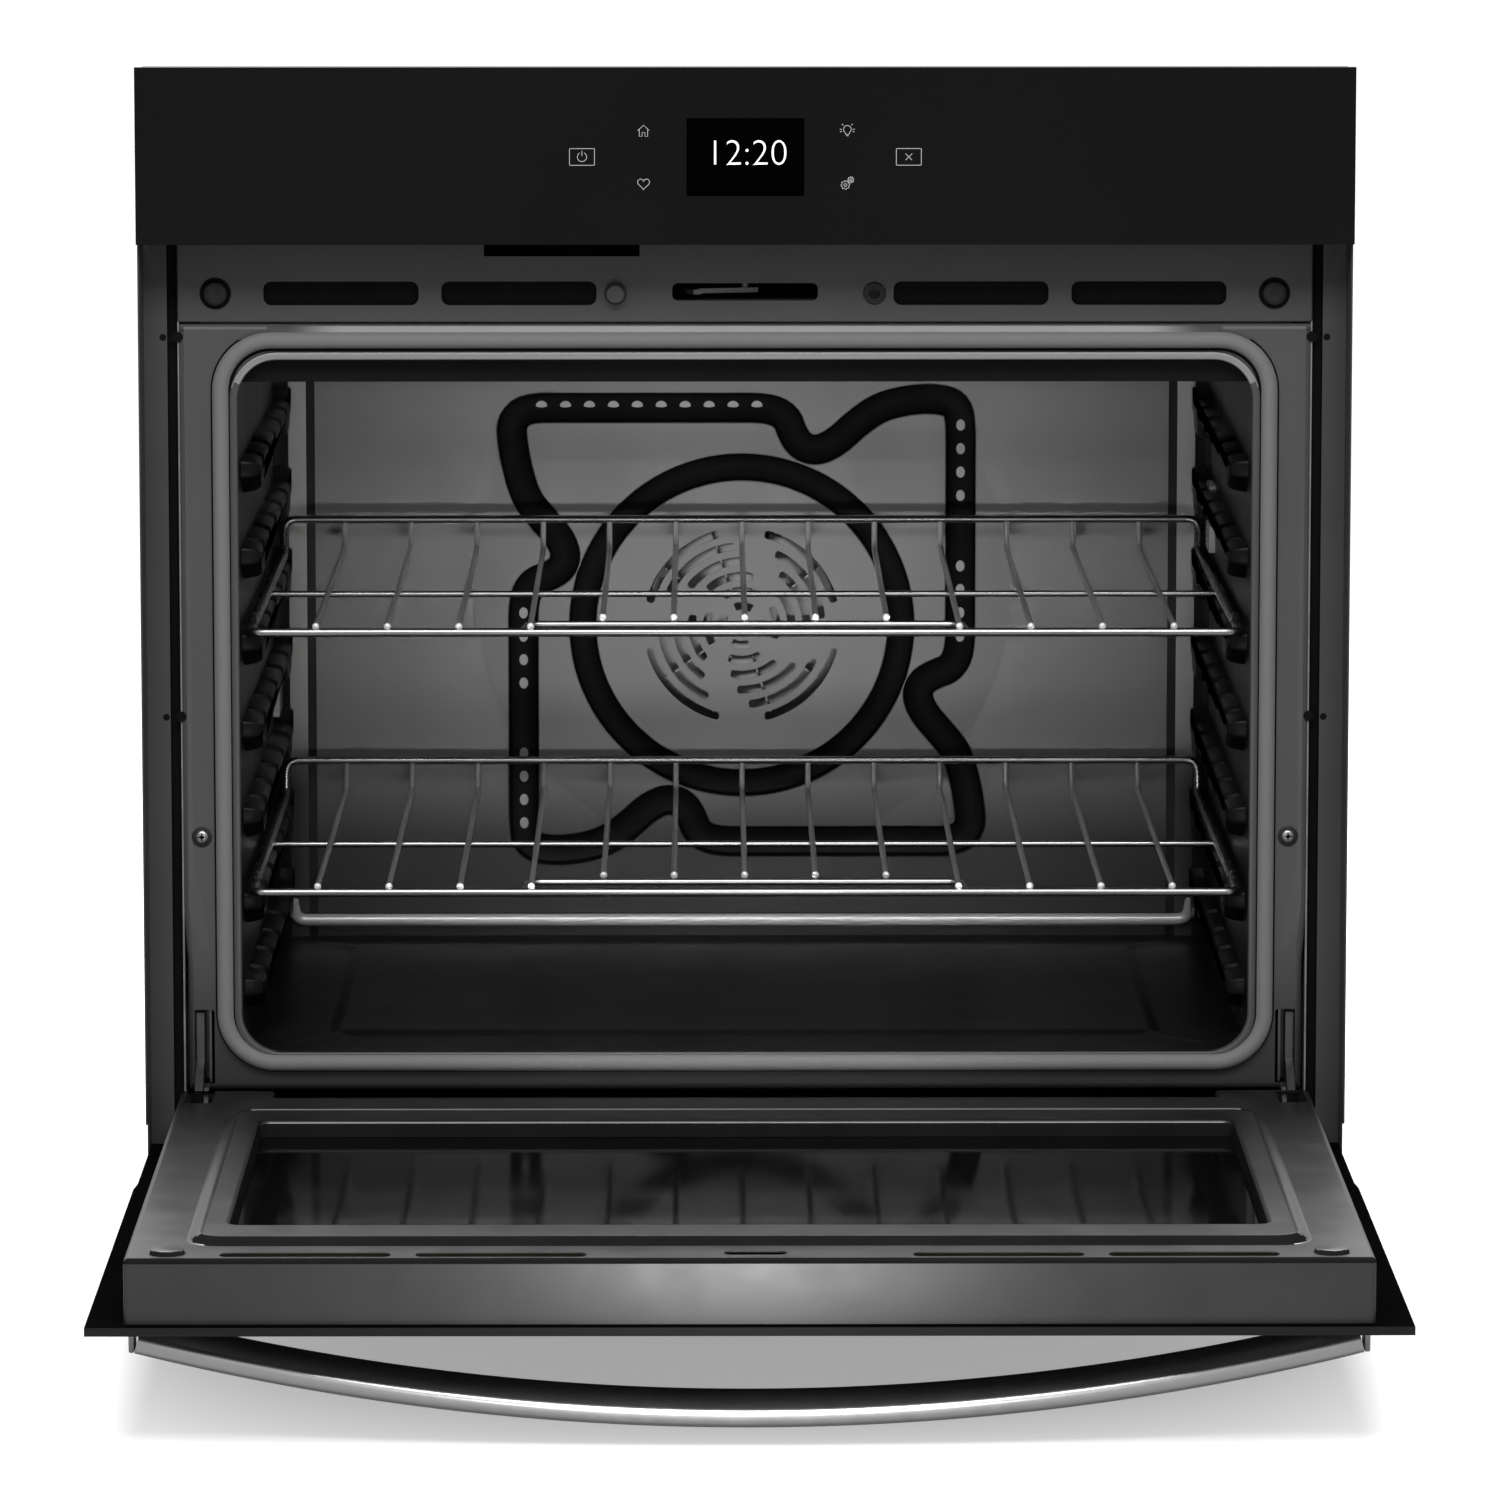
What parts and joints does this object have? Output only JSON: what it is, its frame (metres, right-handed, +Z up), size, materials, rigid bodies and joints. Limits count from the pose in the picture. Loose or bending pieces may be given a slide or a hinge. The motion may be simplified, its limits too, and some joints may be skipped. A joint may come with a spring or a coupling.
{
  "type": "wall oven",
  "caption": "Built-in single electric wall oven with a drop-down glass door, two sliding wire racks, convection fan, door latch and glass control panel.",
  "frame": {"origin": "middle of the four cabinet screw holes, in the plane where the side rails bear on the cabinet face", "axes": "+X across the front to the right, +Y into the wall, +Z up"},
  "size_m": [0.762, 1.1523, 0.7554],
  "materials": {
    "painted_steel": "satin",
    "galvanised": "dull galvanised sheet",
    "black_glass": "polished, back-painted black",
    "enamel": "glossy porcelain enamel",
    "chrome_wire": "bright",
    "stainless": "brushed",
    "seal": "woven",
    "rubber": "matt",
    "plastic_black": "matt",
    "board": "printed board",
    "wool": "fibre blanket",
    "element": "matt sheathed tube",
    "clear_glass": "clear",
    "ceramic": "glazed",
    "zinc": "zinc plated"
  },
  "bodies": {
    "chassis": {"base_pan": "galvanised", "side_panel_left": "galvanised", "side_panel_right": "galvanised", "back_panel": "galvanised", "top_cover": "galvanised", "front_rail": "painted_steel", "front_frame": "painted_steel", "side_rail_left": "painted_steel", "side_rail_right": "painted_steel", "bottom_trim": "painted_steel", "control_glass": "black_glass", "control_box": "painted_steel", "display_module": "plastic_black", "touch_board": "board", "control_board": "board", "blower_housing": "galvanised", "blower_motor": "zinc", "air_duct": "galvanised", "cavity_flange": "enamel", "cavity_left": "enamel", "cavity_right": "enamel", "cavity_ceiling": "enamel", "cavity_floor": "enamel", "cavity_back": "enamel", "rack_guides_left": "enamel", "rack_guides_right": "enamel", "ceiling_deflector": "enamel", "insulation": "wool", "door_gasket": "seal", "broil_element": "element", "bake_element": "element", "convection_element": "element", "fan_chamber": "galvanised", "convection_motor": "zinc", "lamp_lenses": "clear_glass", "lamp_sockets": "ceramic", "temperature_probe": "stainless", "latch_motor": "zinc", "door_switch_body": "plastic_black", "frame_fittings": "rubber", "hinge_arms": "zinc"},
    "door": {"door_glass_outer": "black_glass", "door_liner": "painted_steel", "door_glass_inner": "clear_glass", "door_glass_middle": "clear_glass", "glass_retainer": "galvanised", "door_insulation": "wool", "hinge_channels": "zinc", "hinge_pins": "zinc", "hinge_springs": "zinc", "handle_bar": "stainless", "handle_ends": "plastic_black"},
    "upper_rack": {"upper_rack": "chrome_wire"},
    "lower_rack": {"lower_rack": "chrome_wire"},
    "convection_fan": {"convection_fan": "galvanised"},
    "cooling_blower": {"blower_impeller": "galvanised"},
    "latch_hook": {"latch_hook": "zinc"},
    "door_switch_plunger": {"door_switch_plunger": "plastic_black"},
    "spring_rod_left": {"spring_rod_left": "zinc"},
    "spring_rod_right": {"spring_rod_right": "zinc"}
  },
  "joints": [
    {"name": "door_hinge", "type": "hinge", "parent": "chassis", "child": "door", "pos_m": [0, -0.02415, -0.37515], "axis": [-1, 0, 0], "range_deg": [0, 90]},
    {"name": "upper_rack_slide", "type": "slide", "parent": "chassis", "child": "upper_rack", "axis": [0, 1, 0], "range_m": [-0.36, 0]},
    {"name": "lower_rack_slide", "type": "slide", "parent": "chassis", "child": "lower_rack", "axis": [0, 1, 0], "range_m": [-0.36, 0]},
    {"name": "convection_fan_spin", "type": "hinge", "parent": "chassis", "child": "convection_fan", "pos_m": [0, 0.49, -0.1205], "axis": [0, 1, 0], "continuous": true},
    {"name": "cooling_blower_spin", "type": "hinge", "parent": "chassis", "child": "cooling_blower", "pos_m": [-0.12, 0.43, 0.161], "axis": [0, 0, 1], "continuous": true},
    {"name": "latch_swing", "type": "hinge", "parent": "chassis", "child": "latch_hook", "pos_m": [0, 0.022, 0.1495], "axis": [0, 0, 1], "range_deg": [0, 75]},
    {"name": "door_switch_press", "type": "slide", "parent": "chassis", "child": "door_switch_plunger", "axis": [0, 1, 0], "range_m": [0, 0.004], "stiffness_N_per_m": 150, "springref_m": -0.004},
    {"name": "spring_rod_left_slide", "type": "slide", "parent": "door", "child": "spring_rod_left", "axis": [0, -1, 0], "range_m": [0, 0.018]},
    {"name": "spring_rod_right_slide", "type": "slide", "parent": "door", "child": "spring_rod_right", "axis": [0, -1, 0], "range_m": [0, 0.018]}
  ],
  "couplings": [
    {"joint": "spring_rod_left_slide", "follows": "door_hinge", "m_per_rad": 0.011459},
    {"joint": "spring_rod_right_slide", "follows": "door_hinge", "m_per_rad": 0.011459}
  ]
}
